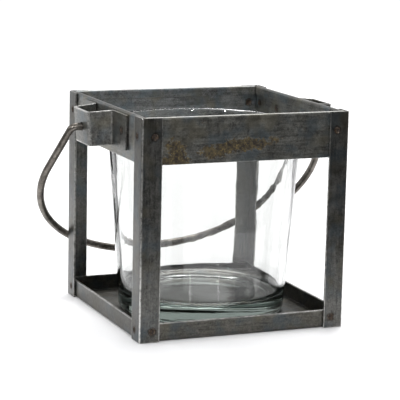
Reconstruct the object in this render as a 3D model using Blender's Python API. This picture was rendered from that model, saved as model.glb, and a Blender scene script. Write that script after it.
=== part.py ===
"""Candle lantern: a clear glass cup standing in an open box frame of folded sheet steel.

Four folded corner posts are spot welded to four hemmed rails round the top and to the lips of a
folded tray at the bottom. A wire bail turns in a folded bracket on each side rail, and hangs down
behind the lantern, against the rear posts. The glass cup lifts out through the top.

Units are metres. X points to the right, Y to the back and Z up. The origin is the middle of the
underside of the tray, which is what the lantern stands on.
"""
import math

import bmesh
import bpy
from mathutils import Matrix, Vector

# ---- Frame ----
FRAME_WIDTH = 0.115            # over the posts, along X
FRAME_DEPTH = 0.115            # over the posts, along Y
FRAME_HEIGHT = 0.115           # floor to the top of the posts and rails
SHEET = 0.001                  # thickness of all the folded sheet steel
FIT_GAP = 0.0003               # left between pieces that touch
FOLD_RADIUS = 0.0003           # inside radius of a sharp fold
POST_FLANGE = 0.011            # width of each flange of a corner post
RAIL_HEIGHT = 0.0241           # top rail, hem included
HEM_HEIGHT = 0.005             # how far the rail's top edge is folded down inside
HEM_SLOT = 0.0004              # space inside the hem's fold
TRAY_LIP = 0.0095              # floor to the top of the tray's lips
TRAY_SLIT = 0.0005             # open seam between two lips at a corner of the tray
SLIT_START = 0.002             # where the seam starts, above the underside
SLIT_REACH = 0.008             # length of the tool that cuts the seam

# ---- Spot welds ----
WELD_RADIUS = 0.0015           # fused nugget
WELD_DISH = 0.0002             # how deep the electrodes pressed in each end
WELD_RIM = 0.0004              # flat rim left round the dish
WELD_INSET = 0.007             # from the outer corner of a post to the weld
TOP_WELD_DROP = 0.0097         # from the top of the frame
BOTTOM_WELD_HEIGHT = 0.0057    # above the underside of the tray

# ---- Bail brackets ----
BRACKET_REACH = 0.012          # how far the outer wall stands out from the feet
BRACKET_HEIGHT = 0.018
BRACKET_DROP = 0.0016          # from the top of the frame to the top of the bracket's feet
BRACKET_SAG = 0.001            # how far the outer wall hangs below the feet, and leans out to match
BRACKET_MOUTH = 0.028          # width over the side walls where they leave the rail
BRACKET_CROWN = 0.023          # width of the outer wall
BRACKET_FOOT = 0.02            # length of each foot
BRACKET_FOLD_RADIUS = 0.0006
BRACKET_WELD_OUT = 0.0135      # from a side wall's fold to the weld in the foot
BRACKET_WELD_RISE = 0.0006     # weld above the middle of the foot

# ---- Bail ----
WIRE_RADIUS = 0.002
PIVOT_CLEARANCE = 0.0004       # round the wire in the bracket's hole
PIVOT_CUT = 0.004              # length of the tool that cuts the hole
HOOK_SETBACK = 0.0055          # from the outer wall's inner face to the hooked end
HOOK_LENGTH = 0.0075           # from the pivot axis to the tip of the hooked end
HOOK_BEND = 0.003              # centreline radius
LEG_OFFSET = 0.004            # from the outer wall's face to the foot of the leg
LEG_BEND = 0.003
LEG_BULGE = 0.0108             # from the outer wall's face to the loop's widest point
SHOULDER_HEIGHT = 0.0436       # from the pivot axis to the loop's widest point
SHOULDER_BEND = 0.056
BAIL_REACH = 0.1124            # from the pivot axis to the top of the loop
BAIL_SHIFT = -0.0012           # where the bail lies in the play it has along its pivot axis
BEND_STEPS = 6                 # segments in each bend of the wire
LOOP_STEPS = 26                # segments in each half of the loop

# ---- Glass cup ----
GLASS_HEIGHT = 0.1027
GLASS_WALL = 0.003
GLASS_BASE = 0.0105            # thickness of the solid base
GLASS_TAPER = 0.0735           # radius lost for each unit of height, from the rim down
GLASS_HEEL = 0.004             # outside radius where the wall meets the base
GLASS_SHOE = 0.0045            # inside radius where the wall meets the cup's floor
GLASS_RECESS = 0.0006          # hollow under the base
GLASS_RING = 0.004             # width of the ring that the glass stands on
GLASS_RIM_BEND = 0.00135       # outside radius of both edges of the rim
GLASS_CLEARANCE = 0.0014       # round the rim, to the rails' hems

# ---- Worked out from the sizes above ----
LAYER = SHEET + FIT_GAP                      # a post's flange and the gap behind it
STACK = 2 * SHEET + FIT_GAP                  # two sheets, through which a weld runs
HEM_THICKNESS = 2 * SHEET + HEM_SLOT
BRACKET_FACE = FRAME_WIDTH / 2 + BRACKET_REACH
BRACKET_MIDDLE = FRAME_HEIGHT - BRACKET_DROP - BRACKET_HEIGHT / 2      # of the feet
PIVOT_HEIGHT = BRACKET_MIDDLE - BRACKET_SAG
SHOULDER_START = SHOULDER_HEIGHT - SHOULDER_BEND / 10                   # corner that the shoulder's bend rounds
GLASS_FLOOR = SHEET + FIT_GAP                # where the glass stands
RIM_RADIUS = min(FRAME_WIDTH, FRAME_DEPTH) / 2 - LAYER - HEM_THICKNESS - GLASS_CLEARANCE
CORNERS = {"front_left": (-1, -1, 0), "front_right": (1, -1, 90),
           "rear_right": (1, 1, 180), "rear_left": (-1, 1, 270)}
SIDES = {"left": -1, "right": 1}

ARC_STEPS = 5                  # segments in a quarter of a small bend
TURN_STEPS = 48                # segments round the glass


def clear_scene():
    for item in list(bpy.data.objects):
        bpy.data.objects.remove(item, do_unlink=True)


def make_material(name, colour, metallic, roughness, transmission=0.0):
    material = bpy.data.materials.new(name)
    material.use_nodes = True
    shader = material.node_tree.nodes["Principled BSDF"]
    shader.inputs["Base Color"].default_value = (*colour, 1.0)
    shader.inputs["Metallic"].default_value = metallic
    shader.inputs["Roughness"].default_value = roughness
    shader.inputs["Transmission Weight"].default_value = transmission
    material.diffuse_color = (*colour, 1.0)
    return material


def add_object(name, bm, material, smooth_angle=30):
    """Turn a bmesh into a named object with one material."""
    bmesh.ops.recalc_face_normals(bm, faces=bm.faces)
    mesh = bpy.data.meshes.new(name)
    bm.to_mesh(mesh)
    bm.free()
    mesh.materials.append(material)
    mesh.shade_smooth()
    mesh.set_sharp_from_angle(angle=math.radians(smooth_angle))
    item = bpy.data.objects.new(name, mesh)
    bpy.context.scene.collection.objects.link(item)
    return item


def place(item, x, y, z, turn=0):
    item.location = (x, y, z)
    item.rotation_euler = (0, 0, math.radians(turn))


# ---- Outlines ----

def rounded_path(corners, steps=ARC_STEPS):
    """Points of a path whose corners, given as (x, y, radius), are rounded by arcs."""
    points = [Vector(corners[0][:2])]
    for before, corner, after in zip(corners, corners[1:], corners[2:]):
        tip = Vector(corner[:2])
        back = (Vector(before[:2]) - tip).normalized()
        ahead = (Vector(after[:2]) - tip).normalized()
        half_angle = back.angle(ahead) / 2
        centre = tip + (back + ahead).normalized() * corner[2] / math.sin(half_angle)
        start = tip + back * corner[2] / math.tan(half_angle) - centre
        sweep = math.copysign(math.pi - 2 * half_angle, back.angle_signed(ahead))
        for step in range(steps + 1):
            points.append(centre + Matrix.Rotation(sweep * step / steps, 2) @ start)
    points.append(Vector(corners[-1][:2]))
    return [p for i, p in enumerate(points) if i == 0 or (p - points[i - 1]).length > 1e-7]


def folded_outline(corners, inside_radius):
    """Closed outline of a folded strip, one sheet thick, whose left face follows the corners."""
    left = []
    right = []
    last = len(corners) - 1
    for index, corner in enumerate(corners):
        here = Vector(corner)
        before = (here - Vector(corners[index - 1])).normalized() if index else None
        after = (Vector(corners[index + 1]) - here).normalized() if index < last else before
        before = before or after
        bisector = (before.orthogonal() + after.orthogonal()).normalized()
        shift = bisector * SHEET / bisector.dot(after.orthogonal())
        opens_left = before.angle_signed(after, 0) < 0
        outer, inner = inside_radius + SHEET, inside_radius
        left.append((*here, inner if opens_left else outer))
        right.append((*(here - shift), outer if opens_left else inner))
    return rounded_path(left) + list(reversed(rounded_path(right)))


def prism(outline, place_point, ends):
    """Closed solid between two copies of an outline, each point placed by place_point."""
    bm = bmesh.new()
    loops = [[bm.verts.new(place_point(point, end)) for point in outline] for end in ends]
    count = len(outline)
    for i in range(count):
        j = (i + 1) % count
        bm.faces.new((loops[0][i], loops[0][j], loops[1][j], loops[1][i]))
    for loop in loops:
        bm.faces.new(loop)
    return bm


def lathe(profile):
    """Solid of revolution about Z from a profile of (radius, height) that ends on the axis."""
    bm = bmesh.new()
    verts = [bm.verts.new((radius, 0, height)) for radius, height in profile]
    edges = [bm.edges.new(pair) for pair in zip(verts, verts[1:])]
    bmesh.ops.spin(bm, geom=verts + edges, cent=(0, 0, 0), axis=(0, 0, 1),
                   angle=2 * math.pi, steps=TURN_STEPS, use_merge=True)
    bmesh.ops.remove_doubles(bm, verts=bm.verts, dist=1e-6)
    return bm


# ---- Holes and welds ----

def add_rod(bm, centre, direction, radius, length, segments=16):
    """Add a cylinder to a bmesh, and return its two flat ends."""
    turn = Vector((0, 0, 1)).rotation_difference(Vector(direction)).to_matrix().to_4x4()
    made = bmesh.ops.create_cone(bm, cap_ends=True, segments=segments, radius1=radius,
                                 radius2=radius, depth=length,
                                 matrix=Matrix.Translation(centre) @ turn)
    faces = {face for vert in made["verts"] for face in vert.link_faces}
    return [face for face in faces if len(face.verts) == segments]


def make_cutter(name, bm):
    mesh = bpy.data.meshes.new(name)
    bmesh.ops.recalc_face_normals(bm, faces=bm.faces)
    bm.to_mesh(mesh)
    bm.free()
    cutter = bpy.data.objects.new(name, mesh)
    cutter.hide_render = True
    cutter.display_type = "WIRE"
    bpy.context.scene.collection.objects.link(cutter)
    return cutter


def cut(item, cutter):
    modifier = item.modifiers.new(cutter.name, "BOOLEAN")
    modifier.operation = "DIFFERENCE"
    modifier.solver = "EXACT"
    modifier.object = cutter


def corner_weld_sites(corner, sign_x, sign_y):
    """The four welds of one post: name to the weld's outer end and its outward direction."""
    faces = {"front" if sign_y < 0 else "rear": ((sign_x * (FRAME_WIDTH / 2 - WELD_INSET),
                                                  sign_y * FRAME_DEPTH / 2), (0, sign_y, 0)),
             "side": ((sign_x * FRAME_WIDTH / 2,
                       sign_y * (FRAME_DEPTH / 2 - WELD_INSET)), (sign_x, 0, 0))}
    levels = {"top": FRAME_HEIGHT - TOP_WELD_DROP, "bottom": BOTTOM_WELD_HEIGHT}
    return {f"{corner}_{level}_{face}_weld": ((*spot, height), outward)
            for level, height in levels.items() for face, (spot, outward) in faces.items()}


def bracket_weld_sites(side, sign_x):
    out = BRACKET_MOUTH / 2 + BRACKET_WELD_OUT
    height = BRACKET_MIDDLE + BRACKET_WELD_RISE
    return {f"{side}_bracket_{foot}_weld": ((sign_x * FRAME_WIDTH / 2, sign_y * out, height), (sign_x, 0, 0))
            for foot, sign_y in (("front", -1), ("rear", 1))}


def add_weld_rod(bm, site, radius, length):
    """Add a rod centred in the two sheets that a weld joins. Returns the rod's flat ends."""
    point, outward = site
    return add_rod(bm, Vector(point) - Vector(outward) * STACK / 2, outward, radius, length)


def make_weld(name, site, material):
    """Spot weld: the nugget that joins two sheets, dished at each end by the electrodes."""
    bm = bmesh.new()
    ends = add_weld_rod(bm, site, WELD_RADIUS, STACK)
    bmesh.ops.inset_individual(bm, faces=ends, thickness=WELD_RIM, depth=-WELD_DISH)
    return add_object(name, bm, material)


def make_weld_cutter(sites):
    bm = bmesh.new()
    for site in sites:
        add_weld_rod(bm, site, WELD_RADIUS + FIT_GAP, 2 * STACK)
    return make_cutter("weld_holes", bm)


# ---- Frame ----

def make_post(name, sign_x, sign_y, turn, material):
    """Corner post: an angle folded from sheet, as tall as the frame."""
    corners = [(POST_FLANGE, 0), (0, 0), (0, POST_FLANGE)]
    outline = folded_outline(corners, FOLD_RADIUS)
    bm = prism(outline, lambda point, height: (point.x, point.y, height), (0, FRAME_HEIGHT))
    post = add_object(name, bm, material)
    place(post, sign_x * FRAME_WIDTH / 2, sign_y * FRAME_DEPTH / 2, 0, turn)
    return post


def make_rail(name, side_length, offset, turn, material):
    """Top rail: a strip that stands behind the posts' flanges, hemmed at its top edge.

    The hem is a half-round fold, and the ends are mitred to meet the next rails.
    """
    hem_radius = HEM_THICKNESS / 2
    corners = [(0, 0), (0, RAIL_HEIGHT), (HEM_THICKNESS, RAIL_HEIGHT),
               (HEM_THICKNESS, RAIL_HEIGHT - HEM_HEIGHT)]
    outer = rounded_path([(x, z, hem_radius) for x, z in corners])
    slot = [(SHEET, 0), (SHEET, RAIL_HEIGHT - SHEET),
            (HEM_THICKNESS - SHEET, RAIL_HEIGHT - SHEET),
            (HEM_THICKNESS - SHEET, RAIL_HEIGHT - HEM_HEIGHT)]
    inner = rounded_path([(x, z, HEM_SLOT / 2) for x, z in slot])
    half_length = side_length / 2 - LAYER
    mitre_gap = FIT_GAP / math.sqrt(2)

    def place_point(point, end):
        return (end * (half_length - mitre_gap - point.x), point.x, point.y)

    bm = prism(outer + list(reversed(inner)), place_point, (-1, 1))
    rail = add_object(name, bm, material)
    across = Matrix.Rotation(math.radians(turn), 2) @ Vector((0, LAYER - offset / 2))
    place(rail, across.x, across.y, FRAME_HEIGHT - RAIL_HEIGHT, turn)
    return rail


def make_tray(material):
    """Tray: a floor with four lips folded up, which stand behind the posts' flanges."""
    outer_radius = FOLD_RADIUS + SHEET
    outside = rounded_path([(outer_radius, 0, 0), (0, 0, outer_radius), (0, TRAY_LIP, 0)])
    inside = rounded_path([(SHEET, TRAY_LIP, 0), (SHEET, SHEET, FOLD_RADIUS), (outer_radius, SHEET, 0)])
    bm = bmesh.new()
    rings = []
    for inset, height in outside + inside:
        x = FRAME_WIDTH / 2 - LAYER - inset
        y = FRAME_DEPTH / 2 - LAYER - inset
        rings.append([bm.verts.new((x * i, y * j, height)) for i, j in ((1, 1), (-1, 1), (-1, -1), (1, -1))])
    for lower, upper in zip(rings, rings[1:]):
        for i in range(4):
            j = (i + 1) % 4
            bm.faces.new((lower[i], lower[j], upper[j], upper[i]))
    bm.faces.new(rings[0])
    bm.faces.new(rings[-1])
    return add_object("tray", bm, material)


def make_tray_seams():
    """Cutter for the open seams between the tray's lips at its four corners."""
    bm = bmesh.new()
    height = 2 * TRAY_LIP
    for sign_x, sign_y, turn in CORNERS.values():
        spot = (sign_x * (FRAME_WIDTH / 2 - LAYER), sign_y * (FRAME_DEPTH / 2 - LAYER), SLIT_START + height / 2)
        spin = Matrix.Rotation(math.radians(turn + 45), 4, "Z")
        size = Matrix.Diagonal((SLIT_REACH, TRAY_SLIT, height, 1))
        bmesh.ops.create_cube(bm, size=1, matrix=Matrix.Translation(spot) @ spin @ size)
    return make_cutter("tray_seams", bm)


# ---- Bail brackets ----

def make_bracket(name, sign_x, material):
    """Bail bracket: a strip folded to a hat section, open at the top and bottom.

    Its outer wall sags a little, pulled down by the bail, and leans out at the top.
    """
    foot_end = BRACKET_MOUTH / 2 + BRACKET_FOOT
    mouth = BRACKET_MOUTH / 2
    crown = BRACKET_CROWN / 2
    corners = [(foot_end, 0), (mouth, 0), (crown, -BRACKET_REACH),
               (-crown, -BRACKET_REACH), (-mouth, 0), (-foot_end, 0)]
    outline = folded_outline(corners, BRACKET_FOLD_RADIUS)
    half = BRACKET_HEIGHT / 2
    slope = BRACKET_SAG / BRACKET_REACH

    def place_point(point, height):
        out = -point.y
        lean = slope * height * max(0, out) / BRACKET_REACH
        return (point.x, -(out + lean), height - slope * out)

    bracket = add_object(name, prism(outline, place_point, (-half, half)), material)
    place(bracket, sign_x * FRAME_WIDTH / 2, 0, BRACKET_MIDDLE, 90 * sign_x)
    return bracket


def make_pivot_cutter():
    bm = bmesh.new()
    for sign_x in SIDES.values():
        centre = (sign_x * (BRACKET_FACE - SHEET / 2), 0, PIVOT_HEIGHT)
        add_rod(bm, centre, (1, 0, 0), WIRE_RADIUS + PIVOT_CLEARANCE, PIVOT_CUT, segments=24)
    return make_cutter("pivot_holes", bm)


# ---- Bail ----

def loop_height(x):
    """Height of the loop above the pivot axis where it is x from the middle."""
    half_width = BRACKET_FACE + LEG_BULGE
    return SHOULDER_HEIGHT + (BAIL_REACH - SHOULDER_HEIGHT) * math.sqrt(1 - (x / half_width) ** 2)


def bail_route():
    """Centreline of the whole bail, upright: points across from the middle and up from the pivot.

    Each half is a hooked end, a stub through the bracket, a leg, and a quarter of an ellipse.
    """
    half_width = BRACKET_FACE + LEG_BULGE
    hook = BRACKET_FACE - SHEET - HOOK_SETBACK
    half = rounded_path([(hook, HOOK_LENGTH, 0), (hook, 0, HOOK_BEND),
                         (BRACKET_FACE + LEG_OFFSET, 0, LEG_BEND),
                         (half_width, SHOULDER_START, SHOULDER_BEND),
                         (half_width, SHOULDER_HEIGHT, 0)], BEND_STEPS)
    for step in range(1, LOOP_STEPS + 1):
        angle = math.pi / 2 * step / LOOP_STEPS
        half.append(Vector((half_width * math.cos(angle), loop_height(half_width * math.cos(angle)))))
    mirrored = [Vector((-point.x, point.y)) for point in half[:-1]]
    return mirrored + list(reversed(half))


def distance_to_path(point, path):
    nearest = math.inf
    for start, end in zip(path, path[1:]):
        run = end - start
        share = min(1, max(0, (point - start).dot(run) / run.length_squared))
        nearest = min(nearest, (start + run * share - point).length)
    return nearest


def bail_rest_angle(route):
    """Angle from upright at which the bail, swung back, lies against the rear posts' corners.

    A post's corner is a vertical line, so its distance to the wire shows in the plan view.
    """
    corner_radius = FOLD_RADIUS + SHEET
    corner = Vector((FRAME_WIDTH / 2 - corner_radius + abs(BAIL_SHIFT), FRAME_DEPTH / 2 - corner_radius))
    touching = corner_radius + FIT_GAP + WIRE_RADIUS
    clear = math.pi / 2
    blocked = math.pi - math.asin(corner.y / loop_height(corner.x))
    for _ in range(40):
        angle = (clear + blocked) / 2
        plan = [Vector((point.x, point.y * math.sin(angle))) for point in route]
        if distance_to_path(corner, plan) > touching:
            clear = angle
        else:
            blocked = angle
    return clear


def make_bail(material):
    """Bail: one bent wire, with its origin on the pivot axis."""
    route = bail_route()
    curve = bpy.data.curves.new("bail", "CURVE")
    curve.dimensions = "3D"
    curve.bevel_depth = WIRE_RADIUS
    curve.bevel_resolution = 3
    curve.use_fill_caps = True
    spline = curve.splines.new("POLY")
    spline.points.add(len(route) - 1)
    for spline_point, point in zip(spline.points, route):
        spline_point.co = (point.x, 0, point.y, 1)
    curve.materials.append(material)
    bail = bpy.data.objects.new("bail", curve)
    bpy.context.scene.collection.objects.link(bail)
    bail.location = (BAIL_SHIFT, 0, PIVOT_HEIGHT)
    bail.rotation_euler = (-bail_rest_angle(route), 0, 0)
    return bail


# ---- Glass cup ----

def make_glass(material):
    """Glass cup: a tapered tumbler with a thick solid base and a fire-rounded rim."""
    foot_radius = RIM_RADIUS - GLASS_TAPER * GLASS_HEIGHT
    ring = foot_radius - GLASS_HEEL
    shoe_height = GLASS_BASE
    shoe_radius = RIM_RADIUS - GLASS_TAPER * (GLASS_HEIGHT - shoe_height) - GLASS_WALL
    profile = rounded_path([
        (0, GLASS_RECESS, 0),
        (ring - GLASS_RING - GLASS_RECESS, GLASS_RECESS, GLASS_RECESS),
        (ring - GLASS_RING, 0, GLASS_RECESS),
        (foot_radius, 0, GLASS_HEEL),
        (RIM_RADIUS, GLASS_HEIGHT, GLASS_RIM_BEND),
        (RIM_RADIUS - GLASS_WALL, GLASS_HEIGHT, GLASS_RIM_BEND),
        (shoe_radius, shoe_height, GLASS_SHOE),
        (0, shoe_height, 0)])
    glass = add_object("glass_cup", lathe(profile), material, smooth_angle=40)
    place(glass, 0, 0, GLASS_FLOOR)
    return glass


def build_lantern():
    clear_scene()
    steel = make_material("galvanised_steel", (0.14, 0.14, 0.145), 0.9, 0.5)
    tray_steel = make_material("tray_steel", (0.08, 0.083, 0.085), 0.9, 0.45)
    wire_steel = make_material("bail_wire", (0.16, 0.15, 0.14), 0.9, 0.45)
    weld_steel = make_material("weld_nugget", (0.09, 0.05, 0.03), 0.5, 0.8)
    clear_glass = make_material("clear_glass", (0.9, 0.96, 0.93), 0.0, 0.03, 1.0)

    posts = [make_post(f"{corner}_post", *spec, steel) for corner, spec in CORNERS.items()]
    rails = [make_rail("front_rail", FRAME_WIDTH, FRAME_DEPTH, 0, steel),
             make_rail("right_rail", FRAME_DEPTH, FRAME_WIDTH, 90, steel),
             make_rail("rear_rail", FRAME_WIDTH, FRAME_DEPTH, 180, steel),
             make_rail("left_rail", FRAME_DEPTH, FRAME_WIDTH, 270, steel)]
    tray = make_tray(tray_steel)
    cut(tray, make_tray_seams())
    brackets = [make_bracket(f"{side}_bail_bracket", sign_x, steel) for side, sign_x in SIDES.items()]

    sites = {}
    for corner, (sign_x, sign_y, _) in CORNERS.items():
        sites.update(corner_weld_sites(corner, sign_x, sign_y))
    for side, sign_x in SIDES.items():
        sites.update(bracket_weld_sites(side, sign_x))
    for name, site in sites.items():
        make_weld(name, site, weld_steel)
    weld_holes = make_weld_cutter(sites.values())
    for item in posts + rails + [tray] + brackets:
        cut(item, weld_holes)
    pivot_holes = make_pivot_cutter()
    for bracket in brackets:
        cut(bracket, pivot_holes)

    make_bail(wire_steel)
    make_glass(clear_glass)


build_lantern()
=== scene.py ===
"""Looks of the candle lantern: a clear glass cup in a box frame of folded, weathered sheet steel.

Every piece of sheet is folded from a strip, given its thickness and drilled for its spot welds.
Units are metres. X points to the right, Y to the back and Z up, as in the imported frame.
"""
import math

import bmesh
import bpy
from mathutils import Matrix, Vector


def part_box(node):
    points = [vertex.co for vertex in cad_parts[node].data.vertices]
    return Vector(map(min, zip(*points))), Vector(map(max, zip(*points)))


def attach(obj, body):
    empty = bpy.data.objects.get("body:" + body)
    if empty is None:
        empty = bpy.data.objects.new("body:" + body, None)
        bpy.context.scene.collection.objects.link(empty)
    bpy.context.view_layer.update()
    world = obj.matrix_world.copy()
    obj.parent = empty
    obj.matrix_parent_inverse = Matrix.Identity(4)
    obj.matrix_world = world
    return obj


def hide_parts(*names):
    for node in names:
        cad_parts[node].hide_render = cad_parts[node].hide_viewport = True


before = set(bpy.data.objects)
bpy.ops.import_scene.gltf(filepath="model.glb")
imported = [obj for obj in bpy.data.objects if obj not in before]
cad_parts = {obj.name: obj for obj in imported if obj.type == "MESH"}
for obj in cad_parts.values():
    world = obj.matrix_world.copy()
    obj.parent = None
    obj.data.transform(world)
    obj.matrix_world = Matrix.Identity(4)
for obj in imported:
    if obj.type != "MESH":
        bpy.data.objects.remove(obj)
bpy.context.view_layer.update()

# ---- Sizes of the frame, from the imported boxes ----
HALF_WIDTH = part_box("front_right_post")[1].x
HALF_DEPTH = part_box("rear_right_post")[1].y
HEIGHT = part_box("front_right_post")[1].z
POST_FLANGE = HALF_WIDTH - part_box("front_right_post")[0].x
RAIL_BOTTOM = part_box("front_rail")[0].z
RAIL_FACE = -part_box("front_rail")[0].y        # outer face of the front rail
TRAY_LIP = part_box("tray")[1].z
BRACKET_FOOT_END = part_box("right_bail_bracket")[1].y
BAIL_LOW, BAIL_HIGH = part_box("bail")
GLASS_LOW, GLASS_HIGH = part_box("glass_cup")

# ---- Sizes that the boxes don't show ----
SHEET = 0.001
FIT_GAP = 0.0003
FOLD_RADIUS = 0.0013           # outside radius of a sharp fold
HEM_HEIGHT = 0.005
HEM_RADIUS = 0.0012            # half the hem's thickness
TRAY_SLIT = 0.0005
LAYER = SHEET + FIT_GAP        # from a sheet's outer face to that of the sheet behind it
STACK = SHEET + LAYER          # two sheets, through which a weld runs
WELD_INSET = 0.007
TOP_WELD = HEIGHT - 0.0097
BOTTOM_WELD = 0.0057
BRACKET_REACH = 0.012
BRACKET_FACE = HALF_WIDTH + BRACKET_REACH
BRACKET_HALF_HEIGHT = 0.009
BRACKET_DROP = 0.0016          # from the top of the frame to the top of the bracket's feet
BRACKET_MIDDLE = HEIGHT - BRACKET_DROP - BRACKET_HALF_HEIGHT
BRACKET_SAG = 0.001            # how far the outer wall has been pulled down
BRACKET_MOUTH = 0.028
BRACKET_CROWN = 0.023
BRACKET_INNER_FOLD = 0.0006
BRACKET_WELD_OUT = 0.0135
BRACKET_WELD_RISE = 0.0006
PIVOT_HEIGHT = BRACKET_MIDDLE - BRACKET_SAG
WIRE_RADIUS = 0.002
PIVOT_RADIUS = 0.0024
HOOK_SETBACK = 0.0055
HOOK_LENGTH = 0.0075
HOOK_BEND = 0.003
LEG_OFFSET = 0.004
LEG_BEND = 0.003
SHOULDER_HEIGHT = 0.0436
SHOULDER_BEND = 0.056
SHOULDER_START = SHOULDER_HEIGHT - 0.1 * SHOULDER_BEND
BAIL_REACH = 0.1124
GLASS_WALL = 0.003
GLASS_BASE = 0.0105
GLASS_RIM_BEND = 0.45 * GLASS_WALL
GLASS_TAPER = 0.0735           # outward per metre of height
GLASS_HEEL = 0.004
GLASS_SHOE = 0.0045
GLASS_RECESS = 0.0006
GLASS_RING = 0.004

# ---- Finer sizes, for looks only ----
SHEARED_EDGE = 0.00012         # width of the worn corner along a sheared edge
DISH_RADIUS = 0.0017
DISH_DEPTH = 0.0004
DISH_PROFILE = ((0, 1), (0.35, 0.96), (0.62, 0.8), (0.84, 0.35), (0.95, 0.07), (1.0, 0.03))
HOLE_SLACK = 0.00002           # between a weld and the sheets round it
FILED_CORNER = 0.0009          # how far the tops of the posts' folds are filed down
FILED_FALLOFF = 1.5
WIRE_TIP = ((0.0, 0.55), (0.0002, 0.85), (0.0006, 1.0))    # distance from the end, share of radius
SAME_PLACE = 0.000001          # vertices as close as this are merged
TINY = 0.0000001
SHARP_ANGLE = 40               # degrees, above which an edge is rounded as if worn
FLOOR_DROP = 0.0002            # from the lantern's underside to the floor
FLOOR_HALF_LENGTH = 1.2
FLOOR_HALF_WIDTH = 0.42

# ---- Steps along curves ----
FOLD_STEPS = 8
WELD_STEPS = 24
WELD_HOLE_STEPS = 32
PIVOT_HOLE_STEPS = 48
BEND_STEPS = 12                # along each bend of the bail
LOOP_STEPS = 64                # along each half of the bail's loop
WIRE_STEPS = 6                 # Blender's bevel resolution, round the wire
GLASS_BEND_STEPS = 10
TURN_STEPS = 128               # round the glass
FLOOR_STEPS = 96

# ---- Colours ----
ZINC_DARK = (0.0404, 0.04, 0.038)
ZINC_PALE = (0.1717, 0.17, 0.1598)
ZINC_BLUE = (0.066, 0.088, 0.104)
ZINC_OLIVE = (0.105, 0.096, 0.070)
# Worn bare metal, which along the folds also serves as a painted highlight.
WEAR_AND_HIGHLIGHT = (0.9, 0.89, 0.86)
# Painted shade along the top edge of every sheet.
TOP_EDGE_SHADE = (0.03, 0.03, 0.028)
SCORCHED = (0.022, 0.014, 0.009)
RUST_CORE = (0.008, 0.005, 0.003)
RUST_BROWN = (0.072, 0.054, 0.023)
RUST_OCHRE = (0.28, 0.20, 0.07)
DISH_DARK = (0.008, 0.005, 0.004)
DISH_BROWN = (0.062, 0.036, 0.018)
DISH_RING = (0.13, 0.105, 0.08)
WIRE_DARK = (0.06, 0.053, 0.045)
WIRE_PALE = (0.22, 0.20, 0.178)
GLASS_CLEAR = (0.885, 0.885, 0.88)
GLASS_DEEP = (0.42, 0.54, 0.49)
FLOOR_WHITE = (0.9, 0.9, 0.91)
WHITE = (1.0, 1.0, 1.0)

# ---- Widths of the worn lines, which also carry the painted highlights along the folds and the painted shade along the top edge ----
FOLD_LINE = 0.0011
FLANGE_LINE = 0.0006
END_LINE = 0.0007
RAIL_EDGE_LINE = 0.0005
CROWN_LINE = 0.0014
MOUTH_LINE = 0.0012
LIP_LINE = 0.0008

# ---- Camera and lights ----
CAMERA_AT = (-0.36579, -0.86893, 0.23736)
CAMERA_TURN = (-22.739, 10.616, 1.255)         # yaw, pitch down and roll, in degrees
CAMERA_LENS = 159.52
SENSOR_WIDTH = 36.0
VIEW_BACK = Vector((0.386, 0.917, 0.0))        # level direction from the camera to the lantern
SOFTBOXES = (                                  # name, place, target, size and power
    ("top_softbox", (0.62, 0.95, 1.95), (0.15, 0.35, 0), (1.6, 1.6), 49),
    ("left_softbox", (-1.5, 0.5, 0.7), (0, 0, 0.05), (0.9, 1.2), 7))
STROBES = (("left_strobe", -27), ("right_strobe", 16))     # turn from the camera's side, in degrees
STROBE_DISTANCE = 1.6
STROBE_HEIGHT = 0.75
STROBE_TARGET = (0, 0, 0.06)
STROBE_SIZE = (0.10, 0.35)
STROBE_POWER = 9

CORNERS = {"front_left": (-1, -1), "front_right": (1, -1),
           "rear_right": (1, 1), "rear_left": (-1, 1)}
SIDES = {"left": -1, "right": 1}


# ---- Shader maths ----

class Channel:
    """One output of a shader node. Arithmetic on it adds Math nodes."""

    def __init__(self, finish, socket):
        self.finish = finish
        self.socket = socket

    def math(self, operation, first, second):
        return self.finish.node("ShaderNodeMath", {"operation": operation}, {0: first, 1: second})

    def __add__(self, other):
        return self.math("ADD", self, other)

    __radd__ = __add__

    def __sub__(self, other):
        return self.math("SUBTRACT", self, other)

    def __rsub__(self, other):
        return self.math("SUBTRACT", other, self)

    def __mul__(self, other):
        return self.math("MULTIPLY", self, other)

    __rmul__ = __mul__

    def __truediv__(self, other):
        return self.math("DIVIDE", self, other)

    def __abs__(self):
        return self.math("ABSOLUTE", self, 0.0)

    def at_least(self, other):
        return self.math("MAXIMUM", self, other)

    def at_most(self, other):
        return self.math("MINIMUM", self, other)


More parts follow.
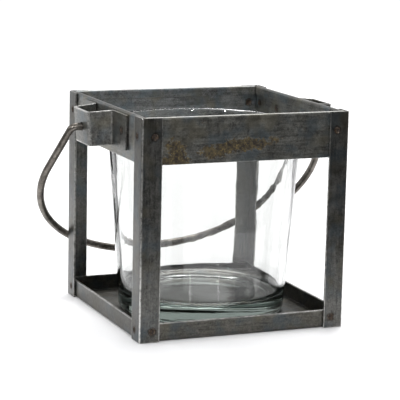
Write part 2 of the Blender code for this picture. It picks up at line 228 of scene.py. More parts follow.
class Finish:
    """A material, or the world, and the nodes that paint it."""

    def __init__(self, owner):
        owner.use_nodes = True
        self.owner = owner
        self.tree = owner.node_tree
        self.tree.nodes.clear()

    def node(self, kind, settings=None, values=None, output=0):
        """Add a node: its settings first, then the values or links of its sockets."""
        made = self.tree.nodes.new(kind)
        for name, setting in (settings or {}).items():
            setattr(made, name, setting)
        for key, value in (values or {}).items():
            socket = self.find(made.inputs, key)
            if isinstance(value, Channel):
                self.tree.links.new(value.socket, socket)
            elif isinstance(value, tuple) and socket.type == "RGBA":
                socket.default_value = (*value[:3], 1.0)
            else:
                socket.default_value = value
        return Channel(self, self.find(made.outputs, output)) if made.outputs else None

    @staticmethod
    def find(sockets, key):
        if isinstance(key, int):
            return sockets[key]
        return next(s for s in sockets if s.identifier == key or s.name == key)

    def place(self):
        """The point being shaded, in metres from the frame's origin."""
        return self.node("ShaderNodeTexCoord", output="Object")

    def split(self, vector):
        """The x, y and z of a vector."""
        return [self.node("ShaderNodeSeparateXYZ", values={0: vector}, output=axis)
                for axis in "XYZ"]

    def stretch(self, vector, factors, shift=(0, 0, 0)):
        return self.node("ShaderNodeMapping", values={
            "Vector": vector, "Scale": factors, "Location": shift})

    def noise(self, vector, size, detail=2.0, rough=0.5, warp=0.0):
        """Noise from 0 to 1 whose features are about size metres across."""
        return self.node("ShaderNodeTexNoise", values={
            "Vector": vector, "Scale": 1.0 / size, "Detail": detail, "Roughness": rough,
            "Distortion": warp})

    def ramp(self, value, low, high, bottom=0.0, top=1.0):
        """Smooth step of a value from low to high, onto bottom to top."""
        return self.node("ShaderNodeMapRange", {"interpolation_type": "SMOOTHSTEP"}, {
            "Value": value, "From Min": low, "From Max": high, "To Min": bottom, "To Max": top})

    def mix(self, first, second, share):
        """Colour between two colours."""
        return self.node("ShaderNodeMix", {"data_type": "RGBA"}, {
            "Factor_Float": share, "A_Color": first, "B_Color": second}, "Result_Color")

    def bump(self, height, strength, distance, normal=None):
        values = {"Height": height, "Strength": strength, "Distance": distance}
        if normal is not None:
            values["Normal"] = normal
        return self.node("ShaderNodeBump", values=values)

    def surface(self, values):
        shader = self.node("ShaderNodeBsdfPrincipled", values=values)
        self.node("ShaderNodeOutputMaterial", values={"Surface": shader})


# ---- Mesh helpers ----

def rounded_path(corners, steps):
    """Points of a path whose corners, given as (x, y, radius), are rounded by arcs."""
    points = [Vector(corners[0][:2])]
    for before, corner, after in zip(corners, corners[1:], corners[2:]):
        tip = Vector(corner[:2])
        back = (Vector(before[:2]) - tip).normalized()
        ahead = (Vector(after[:2]) - tip).normalized()
        half_angle = back.angle(ahead) / 2
        centre = tip + (back + ahead).normalized() * corner[2] / math.sin(half_angle)
        start = tip + back * corner[2] / math.tan(half_angle) - centre
        sweep = math.copysign(math.pi - 2 * half_angle, back.angle_signed(ahead))
        for step in range(steps + 1):
            points.append(centre + Matrix.Rotation(sweep * step / steps, 2) @ start)
    points.append(Vector(corners[-1][:2]))
    return [p for i, p in enumerate(points) if i == 0 or (p - points[i - 1]).length > TINY]


def drawn(points):
    """A bmesh of one chain of edges."""
    bm = bmesh.new()
    verts = [bm.verts.new(point) for point in points]
    for pair in zip(verts, verts[1:]):
        bm.edges.new(pair)
    return bm


def pull(bm, edges, vector):
    """Extrude edges into sheet."""
    made = bmesh.ops.extrude_edge_only(bm, edges=edges)
    verts = [item for item in made["geom"] if isinstance(item, bmesh.types.BMVert)]
    bmesh.ops.translate(bm, verts=verts, vec=vector)


def fold(bm, edges, offset):
    """Round the given folds of a sheet."""
    bmesh.ops.bevel(bm, geom=edges, offset=offset, offset_type="OFFSET", segments=FOLD_STEPS,
                    profile=0.5, affect="EDGES", material=-1)


def thicken(bm, spot, outward):
    """Give a sheet its thickness, behind the side that faces outward near the given spot."""
    bm.normal_update()
    face = min(bm.faces, key=lambda f: (f.calc_center_median() - Vector(spot)).length)
    if face.normal.dot(Vector(outward)) < 0:
        bmesh.ops.reverse_faces(bm, faces=bm.faces[:])
        bm.normal_update()
    bmesh.ops.solidify(bm, geom=bm.faces[:], thickness=SHEET)


def place_object(name, data):
    placed = bpy.data.objects.new(name, data)
    bpy.context.scene.collection.objects.link(placed)
    return placed


def finished_mesh(name, bm):
    """A mesh from a bmesh, which is freed, with its faces turned outward."""
    bmesh.ops.recalc_face_normals(bm, faces=bm.faces[:])
    mesh = bpy.data.meshes.new(name)
    bm.to_mesh(mesh)
    bm.free()
    return mesh


def add_piece(name, bm, finish, smooth_angle=35):
    mesh = finished_mesh(name, bm)
    mesh.materials.append(finish)
    mesh.shade_smooth()
    mesh.set_sharp_from_angle(angle=math.radians(smooth_angle))
    return place_object(name, mesh)


def settle(piece):
    """Apply a piece's modifiers to its mesh."""
    shaped = piece.evaluated_get(bpy.context.evaluated_depsgraph_get())
    mesh = bpy.data.meshes.new_from_object(shaped)
    piece.modifiers.clear()
    piece.data = mesh
    return piece


def drill(piece, cutters):
    """Cut a piece's holes, then round its sheared edges and the rims of the holes."""
    for cutter in cutters:
        hole = piece.modifiers.new("hole", "BOOLEAN")
        hole.operation = "DIFFERENCE"
        hole.solver = "EXACT"
        hole.object = cutter
    worn = piece.modifiers.new("worn_edges", "BEVEL")
    worn.limit_method = "ANGLE"
    worn.angle_limit = math.radians(SHARP_ANGLE)
    worn.width = SHEARED_EDGE
    worn.segments = 2
    worn.harden_normals = True
    return settle(piece)


def show(piece, body, slot, *nodes):
    """Hand a piece to the frame: its body and the CAD nodes it stands for; the slot is not used."""
    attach(piece, body)
    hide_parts(*nodes)


# ---- Spot welds ----

def corner_welds(corner, sign_x, sign_y):
    """The four welds of one post: name to the weld's outer end and its outward direction."""
    end = "front" if sign_y < 0 else "rear"
    faces = {end: ((sign_x * (HALF_WIDTH - WELD_INSET), sign_y * HALF_DEPTH), (0, sign_y, 0)),
             "side": ((sign_x * HALF_WIDTH, sign_y * (HALF_DEPTH - WELD_INSET)), (sign_x, 0, 0))}
    return {f"{corner}_{level}_{face}_weld": ((*spot, height), outward)
            for level, height in (("top", TOP_WELD), ("bottom", BOTTOM_WELD))
            for face, (spot, outward) in faces.items()}


def bracket_welds(side, sign_x):
    out = BRACKET_MOUTH / 2 + BRACKET_WELD_OUT
    height = BRACKET_MIDDLE + BRACKET_WELD_RISE
    outward = (sign_x, 0, 0)
    return {f"{side}_bracket_{foot}_weld": ((sign_x * HALF_WIDTH, sign_y * out, height), outward)
            for foot, sign_y in (("front", -1), ("rear", 1))}


def facing(outward):
    """The turn that brings Z to the outward direction."""
    return Vector((0, 0, 1)).rotation_difference(Vector(outward)).to_matrix().to_4x4()


def lathe(bm, steps):
    """Turn a profile once round Z."""
    bmesh.ops.spin(bm, geom=bm.verts[:] + bm.edges[:], cent=(0, 0, 0), axis=(0, 0, 1),
                   angle=2 * math.pi, steps=steps, use_merge=True)
    bmesh.ops.remove_doubles(bm, verts=bm.verts[:], dist=SAME_PLACE)


def add_rod(bm, centre, outward, radius, length, segments):
    bmesh.ops.create_cone(bm, cap_ends=True, segments=segments, radius1=radius, radius2=radius,
                          depth=length, matrix=Matrix.Translation(centre) @ facing(outward))


def weld_cutter(sites):
    bm = bmesh.new()
    for point, outward in sites.values():
        add_rod(bm, Vector(point) - Vector(outward) * STACK / 2, outward,
                DISH_RADIUS + HOLE_SLACK, 2 * STACK, WELD_HOLE_STEPS)
    return place_object("weld_holes", finished_mesh("weld_holes", bm))


def make_weld(name, site, finish):
    """Spot weld: a nugget through both sheets, with the electrode's dish at each end."""
    point, outward = site
    outer = [(radius * DISH_RADIUS, 0, -depth * DISH_DEPTH) for radius, depth in DISH_PROFILE]
    inner = [(radius, 0, -STACK - depth) for radius, _, depth in reversed(outer)]
    bm = drawn(outer + inner)
    lathe(bm, WELD_STEPS)
    bmesh.ops.transform(bm, matrix=Matrix.Translation(point) @ facing(outward), verts=bm.verts[:])
    return add_piece(name, bm, finish, smooth_angle=60)


# ---- Frame ----

def make_post(name, sign_x, sign_y, finish, cutters):
    """Corner post: an angle folded from sheet."""
    path = [(sign_x * HALF_WIDTH, sign_y * (HALF_DEPTH - POST_FLANGE), 0),
            (sign_x * HALF_WIDTH, sign_y * HALF_DEPTH, 0),
            (sign_x * (HALF_WIDTH - POST_FLANGE), sign_y * HALF_DEPTH, 0)]
    bm = drawn(path)
    pull(bm, bm.edges[:], (0, 0, HEIGHT))
    fold(bm, [edge for edge in bm.edges if len(edge.link_faces) == 2], FOLD_RADIUS)
    for vert in bm.verts:
        if vert.co.z > HEIGHT / 2:
            from_fold = max(HALF_WIDTH - abs(vert.co.x), HALF_DEPTH - abs(vert.co.y))
            vert.co.z -= FILED_CORNER * max(0, 1 - from_fold / FOLD_RADIUS) ** FILED_FALLOFF
    thicken(bm, path[0], (sign_x, 0, 0))
    return drill(add_piece(name, bm, finish), cutters)


def make_rail(name, half_length, face, turn, finish, cutters):
    """Top rail: a strip hemmed along its top edge, with its ends mitred."""
    reach = half_length + SHEET
    bm = drawn([(-reach, -face, RAIL_BOTTOM), (-reach, -face, HEIGHT - HEM_RADIUS)])
    top = max(bm.verts, key=lambda vert: vert.co.z)
    bent = bmesh.ops.spin(bm, geom=[top], cent=(0, HEM_RADIUS - face, HEIGHT - HEM_RADIUS),
                          axis=(1, 0, 0), angle=-math.pi, steps=2 * FOLD_STEPS)
    last = [item for item in bent["geom_last"] if isinstance(item, bmesh.types.BMVert)]
    made = bmesh.ops.extrude_vert_indiv(bm, verts=last)
    bmesh.ops.translate(bm, verts=made["verts"], vec=(0, 0, HEM_RADIUS - HEM_HEIGHT))
    pull(bm, bm.edges[:], (2 * reach, 0, 0))
    thicken(bm, (0, -face, RAIL_BOTTOM), (0, -1, 0))
    mitre_at = half_length - FIT_GAP / math.sqrt(2)
    for end in (-1, 1):
        cut = bmesh.ops.bisect_plane(bm, geom=bm.verts[:] + bm.edges[:] + bm.faces[:], dist=TINY,
                                     plane_co=(end * mitre_at, -face, 0),
                                     plane_no=(end, 1, 0), clear_outer=True)
        rim = [item for item in cut["geom_cut"] if isinstance(item, bmesh.types.BMEdge)]
        bmesh.ops.edgenet_fill(bm, edges=rim)
    bmesh.ops.rotate(bm, verts=bm.verts[:], cent=(0, 0, 0),
                     matrix=Matrix.Rotation(math.radians(turn), 3, "Z"))
    return drill(add_piece(name, bm, finish), cutters)


def make_tray(finish, cutters):
    """Tray: a floor with four lips folded up."""
    face_x = HALF_WIDTH - LAYER
    face_y = HALF_DEPTH - LAYER
    bm = bmesh.new()
    bmesh.ops.create_grid(bm, x_segments=1, y_segments=1, size=1,
                          matrix=Matrix.Diagonal((face_x, face_y, 1, 1)))
    pull(bm, bm.edges[:], (0, 0, TRAY_LIP))
    fold(bm, [edge for edge in bm.edges if len(edge.link_faces) == 2
              and all(vert.co.z < SHEET for vert in edge.verts)], FOLD_RADIUS)
    thicken(bm, (0, 0, 0), (0, 0, -1))
    return drill(add_piece("folded_tray", bm, finish), cutters)


def seam_cutter():
    """Open seams between the tray's lips at its four corners."""
    bm = bmesh.new()
    length, low, height = 8 * SHEET, 2 * SHEET, 2 * TRAY_LIP
    for sign_x, sign_y in CORNERS.values():
        spot = (sign_x * (HALF_WIDTH - LAYER), sign_y * (HALF_DEPTH - LAYER), low + height / 2)
        spin = Matrix.Rotation(math.radians(45 * sign_x * sign_y), 4, "Z")
        size = Matrix.Diagonal((length, TRAY_SLIT, height, 1))
        bmesh.ops.create_cube(bm, size=1, matrix=Matrix.Translation(spot) @ spin @ size)
    return place_object("tray_seams", finished_mesh("tray_seams", bm))


# ---- Bail and its brackets ----

def make_bracket(name, sign_x, finish, cutters):
    """Bail bracket: a strip folded to a hat section, open at the top and bottom."""
    plan = [(0, BRACKET_FOOT_END), (0, BRACKET_MOUTH / 2), (BRACKET_REACH, BRACKET_CROWN / 2)]
    plan += [(out, -across) for out, across in reversed(plan)]
    low = BRACKET_MIDDLE - BRACKET_HALF_HEIGHT
    path = [(sign_x * (HALF_WIDTH + out), across, low) for out, across in plan]
    bm = drawn(path)
    pull(bm, bm.edges[:], (0, 0, 2 * BRACKET_HALF_HEIGHT))
    folds = [edge for edge in bm.edges if len(edge.link_faces) == 2]
    turn = math.atan2(BRACKET_REACH, (BRACKET_MOUTH - BRACKET_CROWN) / 2)
    halfway_out = HALF_WIDTH + BRACKET_REACH / 2
    at_crown = [edge for edge in folds if abs(edge.verts[0].co.x) > halfway_out]
    mouth_spots = [edge.verts[0].co.xy for edge in folds if edge not in at_crown]
    fold(bm, at_crown, (BRACKET_INNER_FOLD + SHEET) * math.tan(turn / 2))
    at_mouth = [edge for edge in bm.edges if len(edge.link_faces) == 2
                and any((edge.verts[0].co.xy - spot).length < SAME_PLACE for spot in mouth_spots)
                and abs(edge.verts[0].co.z - edge.verts[1].co.z) > BRACKET_HALF_HEIGHT]
    fold(bm, at_mouth, BRACKET_INNER_FOLD * math.tan(turn / 2))
    thicken(bm, (sign_x * HALF_WIDTH, BRACKET_FOOT_END, PIVOT_HEIGHT), (sign_x, 0, 0))
    slope = BRACKET_SAG / BRACKET_REACH
    for vert in bm.verts:
        out = abs(vert.co.x) - HALF_WIDTH
        vert.co.x += sign_x * slope * (vert.co.z - BRACKET_MIDDLE) * max(0, out) / BRACKET_REACH
        vert.co.z -= slope * out
    return drill(add_piece(name, bm, finish), cutters)


def pivot_cutter():
    bm = bmesh.new()
    for sign_x in SIDES.values():
        add_rod(bm, (sign_x * (BRACKET_FACE - SHEET / 2), 0, PIVOT_HEIGHT), (1, 0, 0),
                PIVOT_RADIUS, 4 * SHEET, PIVOT_HOLE_STEPS)
    return place_object("pivot_holes", finished_mesh("pivot_holes", bm))


def bail_route():
    """Centreline of the bail, upright: points across from the middle and up from the pivot."""
    half_width = (BAIL_HIGH.x - BAIL_LOW.x) / 2 - WIRE_RADIUS
    hook = BRACKET_FACE - SHEET - HOOK_SETBACK
    half = rounded_path([(hook, HOOK_LENGTH, 0), (hook, 0, HOOK_BEND),
                         (BRACKET_FACE + LEG_OFFSET, 0, LEG_BEND),
                         (half_width, SHOULDER_START, SHOULDER_BEND),
                         (half_width, SHOULDER_HEIGHT, 0)], BEND_STEPS)
    for step in range(1, LOOP_STEPS + 1):
        angle = math.pi / 2 * step / LOOP_STEPS
        rise = (BAIL_REACH - SHOULDER_HEIGHT) * math.sin(angle)
        half.append(Vector((half_width * math.cos(angle), SHOULDER_HEIGHT + rise)))
    return half + [Vector((-point.x, point.y)) for point in reversed(half[:-1])]


def make_bail(finish):
    """Bail: one bent wire, its ends filed round, swung back to where it rests."""
    route = bail_route()
    start, end = route[0], route[-1]
    into_start = (route[1] - start).normalized()
    into_end = (route[-2] - end).normalized()
    points = ([(start + into_start * far, share) for far, share in WIRE_TIP]
              + [(point, 1.0) for point in route[1:-1]]
              + [(end + into_end * far, share) for far, share in reversed(WIRE_TIP)])
    curve = bpy.data.curves.new("bail_line", "CURVE")
    curve.dimensions = "3D"
    curve.bevel_depth = WIRE_RADIUS
    curve.bevel_resolution = WIRE_STEPS
    curve.use_fill_caps = True
    spline = curve.splines.new("POLY")
    spline.points.add(len(points) - 1)
    for spline_point, (point, share) in zip(spline.points, points):
        spline_point.co = (point.x, 0, point.y, 1)
        spline_point.radius = share
    line = place_object("bail_line", curve)
    shaped = line.evaluated_get(bpy.context.evaluated_depsgraph_get())
    mesh = bpy.data.meshes.new_from_object(shaped)
    bpy.data.objects.remove(line)
    angle = math.pi - math.asin((BAIL_HIGH.y - WIRE_RADIUS) / BAIL_REACH)
    shift = (BAIL_HIGH.x + BAIL_LOW.x) / 2          # the bail lies to one side in its play
    mesh.transform(Matrix.Translation((shift, 0, PIVOT_HEIGHT)) @ Matrix.Rotation(-angle, 4, "X"))
    bm = bmesh.new()
    bm.from_mesh(mesh)
    bmesh.ops.remove_doubles(bm, verts=bm.verts[:], dist=SAME_PLACE)
    return add_piece("wire_bail", bm, finish, smooth_angle=50)


# ---- Glass ----

def make_glass(finish):
    """Glass cup: a tapered tumbler with a thick solid base and a fire-rounded rim."""
    height = GLASS_HIGH.z - GLASS_LOW.z
    rim = GLASS_HIGH.x
    foot = rim - GLASS_TAPER * height
    ring = foot - GLASS_HEEL
    shoe = rim - GLASS_TAPER * (height - GLASS_BASE) - GLASS_WALL
    profile = rounded_path([
        (0, GLASS_RECESS, 0),
        (ring - GLASS_RING - GLASS_RECESS, GLASS_RECESS, GLASS_RECESS),
        (ring - GLASS_RING, 0, GLASS_RECESS),
        (foot, 0, GLASS_HEEL),
        (rim, height, GLASS_RIM_BEND),
        (rim - GLASS_WALL, height, GLASS_RIM_BEND),
        (shoe, GLASS_BASE, GLASS_SHOE),
        (0, GLASS_BASE, 0)], GLASS_BEND_STEPS)
    bm = drawn([(radius, 0, GLASS_LOW.z + up) for radius, up in profile])
    lathe(bm, TURN_STEPS)
    return add_piece("glass_tumbler", bm, finish, smooth_angle=60)


# ---- Finishes ----

def from_weld(x, y, z):
    """Distance from the axis of the nearest spot weld."""
    level = abs(z - TOP_WELD).at_most(abs(z - BOTTOM_WELD))
    facing_y = abs(x) - (HALF_WIDTH - WELD_INSET)
    facing_x = abs(y) - (HALF_DEPTH - WELD_INSET)
    in_foot = abs(y) - (BRACKET_MOUTH / 2 + BRACKET_WELD_OUT)
    foot_level = z - (BRACKET_MIDDLE + BRACKET_WELD_RISE)
    square = (facing_y * facing_y + level * level).at_most(facing_x * facing_x + level * level)
    square = square.at_most(in_foot * in_foot + foot_level * foot_level)
    return square.math("SQRT", square, 0.0)


def scaled(colour, level, tint=(1.0, 1.0, 1.0)):
    return tuple(part * level * share for part, share in zip(colour, tint))


def weathered_steel(name, grain, tint=(1.0, 1.0, 1.0), level=1.0, wear_and_highlight=None, rust=None):
    """Old zinc-coated sheet: dark and mottled, with a fine grain along one axis, worn edges that
    also carry a painted highlight, and a painted shade along the top edge.

    grain stretches the pattern along the grain. wear and rust, if given, take the finish and the
    point's x, y and z, and give a mask from 0 to 1.
    """
    finish = Finish(bpy.data.materials.new(name))
    point = finish.place()
    x, y, z = finish.split(point)
    along = finish.stretch(point, grain)
    clouds = finish.noise(point, 0.016, 3.0, 0.55)
    blotches = finish.noise(point, 0.0045, 4.0, 0.62, 0.4)
    streaks = finish.noise(along, 0.0011, 3.0, 0.6)
    speckle = finish.noise(point, 0.0006, 2.0, 0.6)

    mottle = finish.noise(point, 0.0017, 3.0, 0.6)
    shade = ((clouds - 0.5) * 0.4 + (blotches - 0.5) * 0.5 + (streaks - 0.5) * 0.7
             + (speckle - 0.5) * 0.8)
    shade = (shade + (mottle - 0.5) * 0.6) * 0.9 + 0.5
    # level scales this copy's colours to match how brightly the sheet is lit: painted light and
    # shade.
    colour = finish.mix(scaled(ZINC_DARK, level, tint), scaled(ZINC_PALE, level, tint),
                        finish.ramp(shade, 0.1, 0.95))
    blue = finish.ramp(finish.noise(point, 0.011, 2.0, 0.5), 0.46, 0.66)
    colour = finish.mix(colour, scaled(ZINC_BLUE, level), blue * 0.5)
    elsewhere = finish.stretch(point, (1, 1, 1), (0.3, 0.1, 0.2))
    olive = finish.ramp(finish.noise(elsewhere, 0.013, 2.0, 0.5), 0.5, 0.7)
    colour = finish.mix(colour, scaled(ZINC_OLIVE, level), olive * 0.5)
    rough = 0.36 + (blotches - 0.5) * 0.35 + (streaks - 0.5) * 0.2
    metal = 0.96 - finish.ramp(speckle, 0.6, 0.8) * 0.2
    ragged = from_weld(x, y, z) + (mottle - 0.5) * 0.002
    scorch = finish.ramp(ragged, 0.0016, 0.0030, 0.75, 0.0)
    colour = finish.mix(colour, SCORCHED, scorch)
    # Painted shade: the top edge of every sheet is darkened, dulling the light that its round top
    # catches.
    colour = finish.mix(colour, TOP_EDGE_SHADE, near(finish, HEIGHT - z, END_LINE) * 0.6)

    # Worn bare metal, and along the folds a painted highlight: paler and smoother where the mask is
    # high.
    if wear_and_highlight is not None:
        scuffed = finish.noise(point, 0.0022, 3.0, 0.7) + (streaks - 0.5) * 0.5
        scuffs = finish.ramp(scuffed, 0.36, 0.6)
        mask = wear_and_highlight(finish, x, y, z) * (0.35 + scuffs * 0.65)
        colour = finish.mix(colour, WEAR_AND_HIGHLIGHT, mask)
        rough = rough - mask * 0.12
    if rust is not None:
        mask = rust(finish, point, x, y, z)
        scale = finish.noise(point, 0.0013, 3.0, 0.7)
        crust = finish.noise(point, 0.0028, 3.0, 0.65)
        flakes = finish.ramp(scale * 0.6 + crust * 0.4, 0.40, 0.60)
        specks = finish.ramp(speckle, 0.58, 0.70) * finish.ramp(crust, 0.42, 0.6)
        brown = finish.mix(finish.mix(RUST_CORE, RUST_BROWN, flakes), RUST_OCHRE, specks)
        colour = finish.mix(colour, brown, mask)
        rough = rough + mask * 0.4
        metal = metal * (1.0 - mask * 0.92)

    tiny = finish.bump(speckle + streaks * 1.2, 0.35, 0.00006)
    uneven = finish.bump(clouds * 0.7 + blotches * 0.3, 0.5, 0.0006, tiny)
    finish.surface({"Base Color": colour, "Metallic": metal,
                    "Roughness": rough.at_least(0.2).at_most(0.95), "Normal": uneven})
    return finish.owner


def near(finish, distance, width):
    """Mask that is 1 at a line and fades out over a width."""
    return finish.ramp(distance, 0.25 * width, width, 1.0, 0.0)


def post_wear_and_highlight(finish, x, y, z):
    """Worn bright along a post's fold, its sheared edges and its ends; the bright line along the
    fold is also a painted highlight.
    """
    in_x = HALF_WIDTH - abs(x)
    in_y = HALF_DEPTH - abs(y)
    at_fold = near(finish, in_x.at_least(in_y), FOLD_LINE)
    shear_x = near(finish, abs(in_x - POST_FLANGE), FLANGE_LINE)
    shear_y = near(finish, abs(in_y - POST_FLANGE), FLANGE_LINE)
    ends = near(finish, (HEIGHT - z).at_most(z), END_LINE)
    sheared = (at_fold * 0.85).at_least(shear_x * 0.45).at_least(shear_y * 0.35)
    return sheared.at_least(ends * 0.25)


def rail_wear(finish, x, y, z):
    """Worn along the rail's hem and bottom edge."""
    hem = near(finish, HEIGHT - z, END_LINE)
    edge = near(finish, z - RAIL_BOTTOM, RAIL_EDGE_LINE)
    return (hem * 0.12).at_least(edge * 0.2)


def bracket_wear_and_highlight(finish, x, y, z):
    """Worn along the bracket's folds and its sheared edges; the bright lines along the folds are
    also painted highlights.
    """
    out = abs(x) - HALF_WIDTH
    slope = BRACKET_SAG / BRACKET_REACH
    height = z - BRACKET_MIDDLE + out * slope
    in_crown = BRACKET_REACH - (out - height * slope)
    crown = near(finish, in_crown.at_least(abs(BRACKET_CROWN / 2 - abs(y))), CROWN_LINE)
    mouth = near(finish, abs(out).at_least(abs(BRACKET_MOUTH / 2 - abs(y))), MOUTH_LINE)
    ends = near(finish, BRACKET_HALF_HEIGHT - abs(height), END_LINE)
    off_foot = finish.ramp(out, 0.0002, 0.0015)
    return crown.at_least(ends * off_foot * 0.7).at_least(mouth * 0.3)


def tray_wear(finish, x, y, z):
    """Worn along the top edges of the tray's lips."""
    return near(finish, TRAY_LIP - z, LIP_LINE) * 0.4


def patch(finish, x, z, centre, half_size, slope=0.0):
    """Soft ellipse on the front rail, 1 in its middle and 0 outside."""
    across = (x - centre[0]) / half_size[0]
    up = (z - centre[1] - (x - centre[0]) * slope) / half_size[1]
    return 1.0 - (across * across + up * up)


def front_rail_rust(finish, point, x, y, z):
    """Rust where the front rail's coating failed: a long patch, and a smear by the left post."""
    long_patch = patch(finish, x, z, (-0.0045, 0.0990), (0.0205, 0.0031), 0.09)
    core = patch(finish, x, z, (-0.0064, 0.1001), (0.0060, 0.0026), 0.05) + 0.3
    faint_end = patch(finish, x, z, (-0.0190, 0.0965), (0.0080, 0.0036)) - 0.25
    smear = patch(finish, x, z, (-0.0395, 0.0985), (0.0068, 0.0066)) - 0.4
    foot = patch(finish, x, z, (-0.0390, 0.0928), (0.0080, 0.0026)) + 0.15
    spread = long_patch
    for other in (core, faint_end, smear, foot, -1.0):
        spread = spread.at_least(other)
    ragged = finish.noise(point, 0.0042, 5.0, 0.72, 0.8)
    fine = finish.noise(finish.stretch(point, (0.45, 1, 1)), 0.0016, 3.0, 0.7)
    front = finish.ramp(0.0 - y, RAIL_FACE - 0.0004, RAIL_FACE - 0.0001)
    grit = finish.noise(point, 0.0008, 3.0, 0.7)
    edge = spread * 0.8 + (ragged - 0.5) * 3.8 + (fine - 0.5) * 1.8 + (grit - 0.5) * 1.2
    return finish.ramp(edge, -0.3, 0.15) * front


def weld_rust(name):
    """Scorched, rusty floor of a spot weld's dish, with a broken, paler ring at its edge."""
    finish = Finish(bpy.data.materials.new(name))
    point = finish.place()
    x, y, z = finish.split(point)
    patches = finish.noise(point, 0.0011, 3.0, 0.7)
    colour = finish.mix(DISH_DARK, DISH_BROWN, finish.ramp(patches, 0.38, 0.7))
    broken = finish.ramp(finish.noise(point, 0.0018, 2.0, 0.6), 0.48, 0.6)
    ring = finish.ramp(from_weld(x, y, z), 0.0011, 0.0015) * broken
    colour = finish.mix(colour, DISH_RING, ring)
    grit = finish.noise(point, 0.0004, 3.0, 0.7)
    finish.surface({"Base Color": colour, "Metallic": 0.25 + ring * 0.6,
                    "Roughness": 0.62 - ring * 0.2,
                    "Normal": finish.bump(grit + patches, 0.6, 0.0001)})
    return finish.owner


def drawn_wire(name):
    """Bail wire: dull and brownish, smoother where hands have rubbed it."""
    finish = Finish(bpy.data.materials.new(name))
    point = finish.place()
    blotches = finish.noise(point, 0.006, 4.0, 0.65)
    speckle = finish.noise(point, 0.0007, 2.0, 0.6)
    shade = finish.ramp(blotches * 0.7 + speckle * 0.3, 0.34, 0.66)
    colour = finish.mix(WIRE_DARK, WIRE_PALE, shade)
    finish.surface({"Base Color": colour, "Metallic": 0.95, "Roughness": 0.42 - shade * 0.14,
                    "Normal": finish.bump(speckle + blotches, 0.3, 0.00008)})
    return finish.owner


def clear_glass(name):
    """Pressed glass: its sides are slightly wavy, and it is grey-green where it is thick."""
    finish = Finish(bpy.data.materials.new(name))
    point = finish.place()
    waves = finish.noise(finish.stretch(point, (1, 1, 0.3)), 0.014, 2.0, 0.5)
    ripples = finish.noise(point, 0.005, 1.0, 0.4)
    shader = finish.node("ShaderNodeBsdfPrincipled", values={
        "Base Color": GLASS_CLEAR, "Roughness": 0.0, "IOR": 1.5, "Transmission Weight": 1.0,
        "Normal": finish.bump(waves + ripples * 0.1, 0.5, 0.00032)})
    body = finish.node("ShaderNodeVolumeAbsorption", values={
        "Color": GLASS_DEEP, "Density": 16.0})
    finish.node("ShaderNodeOutputMaterial", values={"Surface": shader, "Volume": body})
    return finish.owner


def white_floor(name):
    finish = Finish(bpy.data.materials.new(name))
    finish.surface({"Base Color": FLOOR_WHITE, "Roughness": 0.7, "Specular IOR Level": 0.2})
    return finish.owner


# ---- Stage ----

def make_floor():
    """White table: an ellipse along the view, narrow so that the glass mirrors little of it."""
    bm = bmesh.new()
    bmesh.ops.create_circle(bm, cap_ends=True, segments=FLOOR_STEPS, radius=1.0)
    turn = math.atan2(VIEW_BACK.y, VIEW_BACK.x)
    bmesh.ops.transform(bm, verts=bm.verts[:], matrix=(
        Matrix.Translation(VIEW_BACK - Vector((0, 0, FLOOR_DROP))) @ Matrix.Rotation(turn, 4, "Z")
        @ Matrix.Diagonal((FLOOR_HALF_LENGTH, FLOOR_HALF_WIDTH, 1, 1))))
    floor = add_piece("floor", bm, white_floor("floor_white"))


def make_world():
    """Room light: bright behind and above, dimmer on the camera's side, white where it is seen."""
    world = bpy.data.worlds.new("studio")
    bpy.context.scene.world = world
    finish = Finish(world)
    direction = finish.node("ShaderNodeTexCoord", output="Generated")
    x, y, z = finish.split(direction)
    behind = finish.ramp(x * VIEW_BACK.x + y * VIEW_BACK.y, -0.1, 0.92, 0.15, 1.0)
    low = finish.ramp(z, -0.03, 0.10, 1.0, 0.6)
    above = finish.ramp(z, 0.3, 0.95, 0.0, 1.05)
    room = (behind * low).at_least(above)
    through = finish.node("ShaderNodeLightPath", output="Is Transmission Ray")
    seen = finish.node("ShaderNodeLightPath", output="Is Camera Ray")
    seen = seen.at_least(through * finish.ramp(z, -0.05, 0.0, 1.0, 0.0))
    room_light = finish.node("ShaderNodeBackground", values={"Color": WHITE, "Strength": room})
    white = finish.node("ShaderNodeBackground", values={"Color": WHITE, "Strength": 1.05})
    both = finish.node("ShaderNodeMixShader", values={0: seen, 1: room_light, 2: white})
    finish.node("ShaderNodeOutputWorld", values={"Surface": both})


def add_light(name, at, target, size, power):
    light = bpy.data.lights.new(name, "AREA")
    light.shape = "RECTANGLE"
    light.size, light.size_y = size
    light.energy = power
    lamp = place_object(name, light)
    lamp.location = at
    lamp.rotation_euler = (Vector(target) - Vector(at)).to_track_quat("-Z", "Y").to_euler()


def make_camera():
    yaw, pitch, roll = (math.radians(angle) for angle in CAMERA_TURN)
    ahead = Vector((-math.sin(yaw) * math.cos(pitch), math.cos(yaw) * math.cos(pitch),
                    -math.sin(pitch)))
    level = ahead.cross(Vector((0, 0, 1))).normalized()
    upright = level.cross(ahead)
    right = math.cos(roll) * level + math.sin(roll) * upright
    up = math.cos(roll) * upright - math.sin(roll) * level
    data = bpy.data.cameras.new("camera")
    data.lens = CAMERA_LENS
    data.sensor_width = SENSOR_WIDTH
    data.clip_start, data.clip_end = 0.01, 20.0
    camera = place_object("camera", data)
    axes = Matrix((right, up, -ahead)).transposed().to_4x4()
    camera.matrix_world = Matrix.Translation(CAMERA_AT) @ axes
    bpy.context.scene.camera = camera


# ---- Materials: grain, tint and level of each sheet; the levels are painted light and shade, each copy of the same steel set lighter or darker to match how brightly that sheet is lit ----

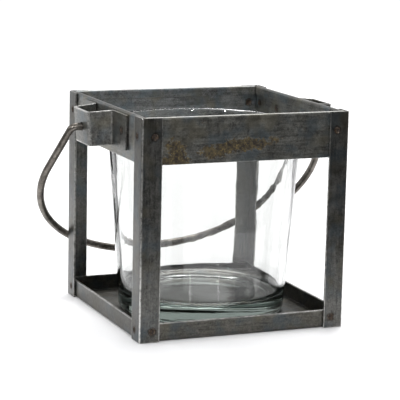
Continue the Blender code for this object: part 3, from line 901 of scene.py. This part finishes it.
steel_upright = weathered_steel("steel_posts", (1, 1, 0.07), level=0.95, wear_and_highlight=post_wear_and_highlight)
steel_front = weathered_steel("steel_front_rail", (0.07, 1, 1), (0.99, 1.0, 0.98), 1.9, rail_wear,
                              front_rail_rust)
steel_across = weathered_steel("steel_rear_rail", (0.05, 1, 1), (0.96, 1.0, 1.06), 2.2, rail_wear)
steel_side = weathered_steel("steel_side_rails", (1, 0.07, 1), level=2.4, wear_and_highlight=rail_wear)
steel_bracket = weathered_steel("steel_brackets", (1, 0.07, 1), level=1.95, wear_and_highlight=bracket_wear_and_highlight)
steel_tray = weathered_steel("steel_tray", (0.07, 1, 1), (1.03, 1.0, 0.94), 0.85, tray_wear)
weld_finish = weld_rust("weld_scorch")
wire_finish = drawn_wire("wire_worn")
glass_finish = clear_glass("glass_clear")

# ---- Pieces ----

welds = {}
for corner, signs in CORNERS.items():
    welds.update(corner_welds(corner, *signs))
for side, sign in SIDES.items():
    welds.update(bracket_welds(side, sign))
weld_holes = weld_cutter(welds)
tray_seams = seam_cutter()
pivot_holes = pivot_cutter()

for corner, (sign_x, sign_y) in CORNERS.items():
    post = make_post(f"{corner}_corner_post", sign_x, sign_y, steel_upright, [weld_holes])
    show(post, "frame", "galvanised_steel", f"{corner}_post")
for name, half_length, face, turn, finish in (
        ("front_rail", HALF_WIDTH - LAYER, HALF_DEPTH - LAYER, 0, steel_front),
        ("right_rail", HALF_DEPTH - LAYER, HALF_WIDTH - LAYER, 90, steel_side),
        ("rear_rail", HALF_WIDTH - LAYER, HALF_DEPTH - LAYER, 180, steel_across),
        ("left_rail", HALF_DEPTH - LAYER, HALF_WIDTH - LAYER, 270, steel_side)):
    rail = make_rail(f"{name}_hemmed", half_length, face, turn, finish, [weld_holes])
    show(rail, "frame", "galvanised_steel", name)
show(make_tray(steel_tray, [weld_holes, tray_seams]), "frame", "tray_steel", "tray")
for side, sign in SIDES.items():
    bracket = make_bracket(f"{side}_bracket_hat", sign, steel_bracket, [weld_holes, pivot_holes])
    show(bracket, "frame", "galvanised_steel", f"{side}_bail_bracket")
for name, site in welds.items():
    show(make_weld(f"{name}_dish", site, weld_finish), "frame", "weld_nugget", name)
show(make_bail(wire_finish), "bail", "bail_wire", "bail")
show(make_glass(glass_finish), "glass", "clear_glass", "glass_cup")
for cutter in (weld_holes, tray_seams, pivot_holes):
    bpy.data.objects.remove(cutter)

# ---- Camera, lights and surroundings ----

bpy.context.scene.view_settings.view_transform = "Standard"
make_floor()
make_world()
make_camera()
for softbox in SOFTBOXES:
    add_light(*softbox)
for name, turn in STROBES:
    towards = Matrix.Rotation(math.radians(turn), 3, "Z") @ VIEW_BACK
    strobe_at = Vector((0, 0, STROBE_HEIGHT)) - towards * STROBE_DISTANCE
    add_light(name, strobe_at, STROBE_TARGET, STROBE_SIZE, STROBE_POWER)
